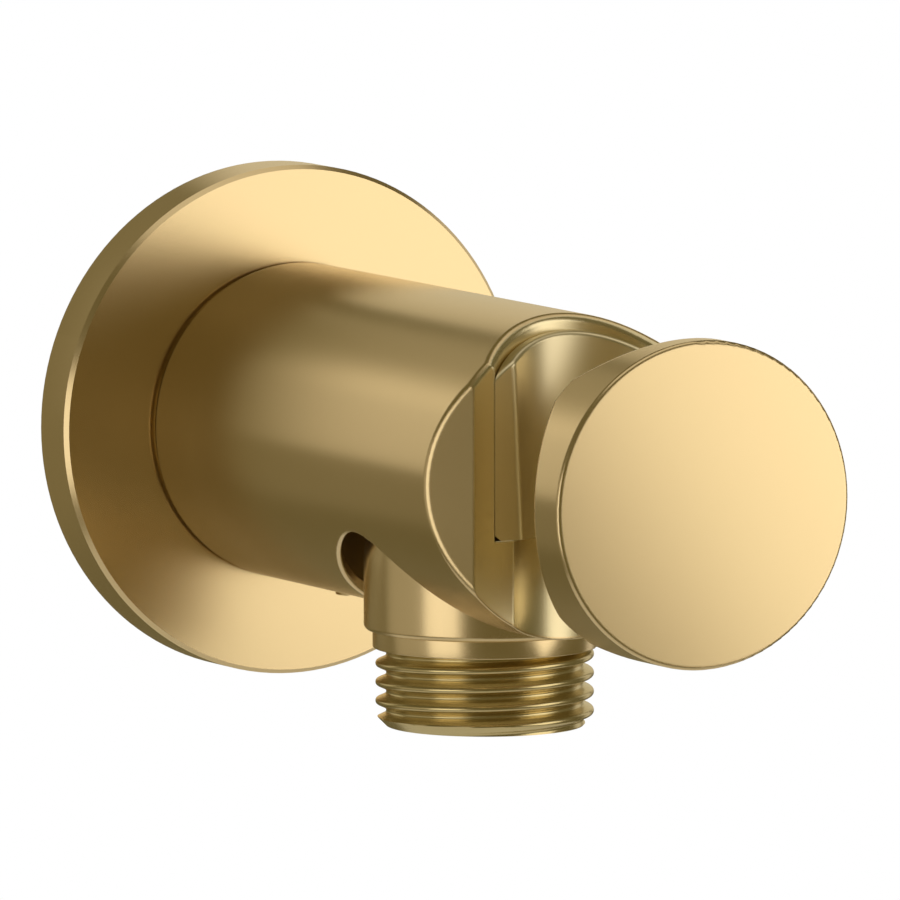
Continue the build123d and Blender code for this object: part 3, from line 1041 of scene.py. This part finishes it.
@dataclass(frozen=True)
class SoftBox:
    """A studio light that looks at a point, in millimetres and degrees."""

    name: str
    bearing: float
    rise: float
    distance: float
    width: float
    height: float
    glow: float
    colour: Colour = WARM
    aim: tuple[float, float, float] = (0.0, -45.0, 0.0)
    roll: float = 0.0

    def light(self) -> None:
        """Hang the light; bearing 0 is in front, 90 on the object's right."""
        out = turned(self.bearing, self.rise) @ Vector((0, -1, 0))
        data = bpy.data.lights.new(self.name, "AREA")
        data.shape = "RECTANGLE"
        data.size = self.width * MM
        data.size_y = self.height * MM
        data.energy = self.glow * pi * self.width * self.height * MM * MM
        data.color = self.colour
        lamp = bpy.data.objects.new(self.name, data)
        lamp.location = (Vector(self.aim) + out * self.distance) * MM
        roll = Quaternion((0.0, 0.0, 1.0), radians(self.roll))
        lamp.rotation_euler = ((-out).to_track_quat("-Z", "Y") @ roll).to_euler()
        lamp.visible_camera = False
        bpy.context.scene.collection.objects.link(lamp)


class Studio:
    """A white room with soft boxes all round, a pale floor and the wall's shade; sizes in millimetres."""

    floor_height = -260.0
    floor_middle = -45.0
    floor_size = 600.0
    floor_deep: Colour = (0.80, 0.80, 0.79)
    floor_pale: Colour = (0.84, 0.84, 0.83)
    floor_drift_mm = 40.0
    floor_roughness = 0.6
    floor_glow = (0.80, 0.80, 0.78, 1.0)
    floor_glow_strength = 0.3
    base: Colour = (0.145, 0.123, 0.056)
    shade_rim = 24.0
    shade_reach = 42.0
    shade_back = 0.5
    shade_side = (-2.0, -12.0)
    shade_foot = (-22.0, -6.0)
    shade_tone: Colour = (0.215, 0.185, 0.098)
    boxes = (
        SoftBox("key", 0.0, 0.0, 171.0, 220.0, 150.0, 1.35, WARM, (167.0, -45.0, 21.0), 34.8),
        SoftBox("left", -69.5, -6.0, 600.0, 400.0, 400.0, 1.12),
        SoftBox("left side", -113.0, -6.0, 600.0, 440.0, 400.0, 0.26, (1.0, 0.94, 0.80)),
        SoftBox("back left", -157.0, 12.0, 600.0, 300.0, 300.0, 0.58, (1.0, 0.93, 0.78)),
        SoftBox("back left low", -157.0, -12.0, 600.0, 300.0, 160.0, 0.08, (1.0, 0.92, 0.72)),
        SoftBox("back left high", -168.0, 30.0, 600.0, 320.0, 220.0, 0.24, (1.0, 0.92, 0.72)),
        SoftBox("back right", 148.0, 12.0, 600.0, 392.0, 420.0, 0.56, (1.0, 0.91, 0.70)),
        SoftBox("right", 112.0, 4.0, 600.0, 200.0, 520.0, 0.60),
        SoftBox("top", 20.0, 74.0, 600.0, 700.0, 560.0, 0.6),
    )

    def build(self) -> None:
        """Set up the camera, the room, the floor, the wall's shade and the lights."""
        Viewpoint().camera()
        self.room()
        self.floor()
        self.shade()
        for box in self.boxes:
            box.light()
        view = bpy.context.scene.view_settings
        view.view_transform = "Standard"
        view.look = "None"

    def room(self) -> None:
        """White to the camera, and a dim warm room to the metal."""
        world = bpy.data.worlds.new("room")
        bpy.context.scene.world = world
        tree = ShaderTree(world)
        seen = tree.node("ShaderNodeLightPath", output="Is Camera Ray")
        white = tree.node("ShaderNodeBackground", None, {"Color": (*WHITE, 1.0), "Strength": 1.0})
        dim = tree.node("ShaderNodeBackground", None, {"Color": (*self.base, 1.0), "Strength": 1.0})
        tree.finish("ShaderNodeOutputWorld", tree.mix(seen, dim, white))

    def floor(self) -> None:
        """A pale floor, well under the fitting, clear from below so that the outlet can be looked into."""
        mesh = bmesh.new()
        bmesh.ops.create_grid(mesh, x_segments=1, y_segments=1, size=self.floor_size * MM / 2)
        place = (0, self.floor_middle * MM, self.floor_height * MM)
        bmesh.ops.translate(mesh, verts=mesh.verts[:], vec=place)
        made = bpy.data.materials.new("pale floor")
        tree = ShaderTree(made)
        drift = tree.noise(tree.place(), self.floor_drift_mm)
        surface = tree.node("ShaderNodeBsdfPrincipled", None, {
            "Base Color": tree.blend(drift, self.floor_deep, self.floor_pale),
            "Roughness": self.floor_roughness,
            "Emission Color": self.floor_glow,
            "Emission Strength": self.floor_glow_strength,
        })
        under = tree.node("ShaderNodeNewGeometry", output="Backfacing")
        clear = tree.node("ShaderNodeBsdfTransparent")
        tree.finish("ShaderNodeOutputMaterial", tree.mix(under, surface, clear))
        stage_piece(mesh, "floor", made)

    def shade(self) -> None:
        """The wall's soft shade round the flange's left, which only the metal sees."""
        rim, reach = self.shade_rim * MM, self.shade_reach * MM
        upright = Matrix.Rotation(pi / 2, 4, "X")
        mesh = bmesh.new()
        bmesh.ops.create_grid(mesh, x_segments=1, y_segments=1, size=reach, matrix=upright)
        bmesh.ops.translate(mesh, verts=mesh.verts[:], vec=(0, self.shade_back * MM, 0))
        made = bpy.data.materials.new("wall in shade")
        tree = ShaderTree(made)
        place = tree.place()
        across, up = tree.along(place, "X"), tree.along(place, "Z")
        square = across * across + up * up
        near = (1.0 - tree.fade(square, rim * rim, reach * reach)) * (square > rim * rim)
        beside = tree.fade(across, *(end * MM for end in self.shade_side))
        above = tree.fade(up, *(end * MM for end in self.shade_foot))
        dim = tree.node("ShaderNodeEmission", None, {"Color": (*self.shade_tone, 1.0), "Strength": 1.0})
        clear = tree.node("ShaderNodeBsdfTransparent")
        tree.finish("ShaderNodeOutputMaterial", tree.mix(near * beside * above, clear, dim))
        card = stage_piece(mesh, "shade", made)
        card.visible_camera = False
        card.visible_shadow = False


def main() -> None:
    """Build the pieces in order, dress the frame and light it."""
    logging.basicConfig(level=logging.INFO)
    wardrobe = Wardrobe()
    for node, finish in NODE_FINISH.items():
        wardrobe.dress(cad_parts[node], finish)
        LOG.info("dressed %s in %s", node, finish.name)
    for maker in (OutletNipple, InletAdapter, CoilSpring):
        piece = maker(wardrobe).build()
        LOG.info("made %s with %d faces", piece.name, len(piece.data.polygons))
    Studio().build()


if __name__ == "__main__":
    main()
